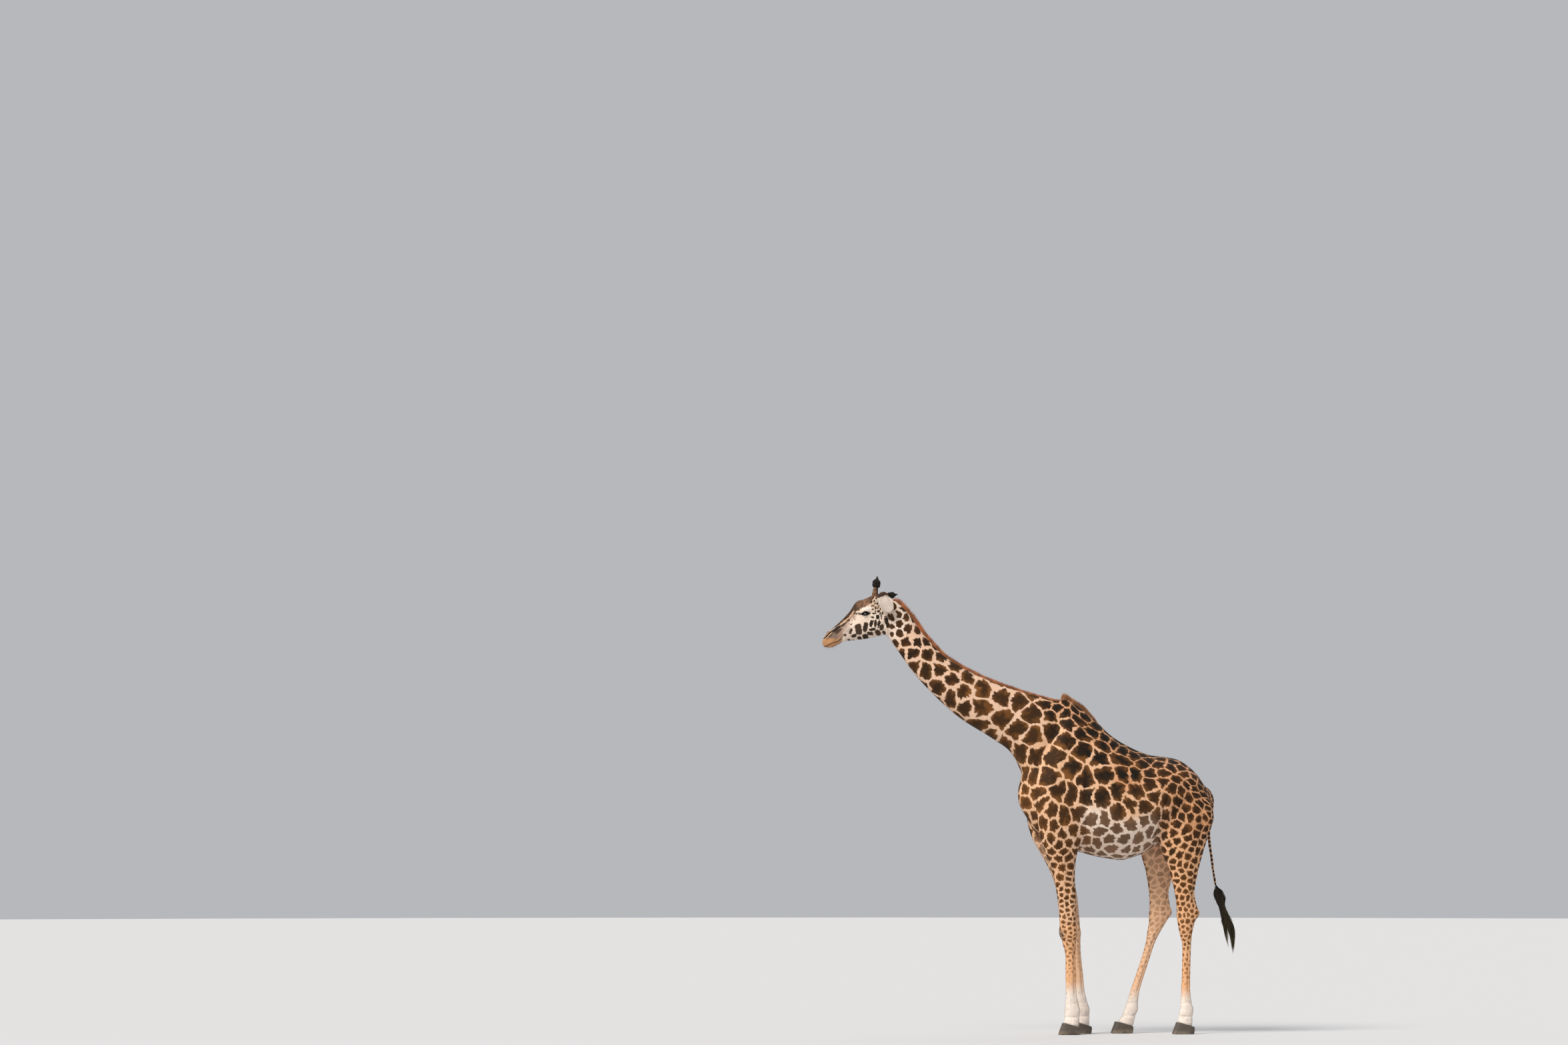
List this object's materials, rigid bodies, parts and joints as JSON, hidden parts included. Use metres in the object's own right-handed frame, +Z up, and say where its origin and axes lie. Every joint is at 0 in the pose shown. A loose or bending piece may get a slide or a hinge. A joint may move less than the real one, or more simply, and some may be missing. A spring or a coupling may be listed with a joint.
{
  "type": "giraffe",
  "caption": "Life-size still model of a standing Masai giraffe with jagged brown patches, its neck reaching forward and its head held low.",
  "frame": {"origin": "on the floor, at the middle of the footprint box", "axes": "+Z up, -X towards the animal's head, -Y towards its left side"},
  "size_m": [3.4704, 0.6576, 3.8253],
  "materials": {
    "coat": "short flat hair over hide, dark jagged patches parted by pale orange-cream lines",
    "mane": "short stiff upright hair",
    "dark_hair": "black coarse hair",
    "hoof": "dark worn horn",
    "eye": "wet and glossy"
  },
  "bodies": {
    "root": {"head": "coat", "neck_upper": "coat", "neck_lower": "coat", "trunk": "coat", "left_fore_leg": "coat", "left_fore_hoof_outer": "hoof", "left_fore_hoof_inner": "hoof", "right_fore_leg": "coat", "right_fore_hoof_outer": "hoof", "right_fore_hoof_inner": "hoof", "left_hind_leg": "coat", "left_hind_hoof_outer": "hoof", "left_hind_hoof_inner": "hoof", "right_hind_leg": "coat", "right_hind_hoof_outer": "hoof", "right_hind_hoof_inner": "hoof", "left_eye": "eye", "left_ear": "coat", "left_ossicone": "coat", "left_ossicone_tuft": "dark_hair", "right_eye": "eye", "right_ear": "coat", "right_ossicone": "coat", "right_ossicone_tuft": "dark_hair", "tail": "coat", "tail_tassel": "dark_hair", "neck_mane": "mane", "withers_mane": "mane"}
  },
  "joints": []
}
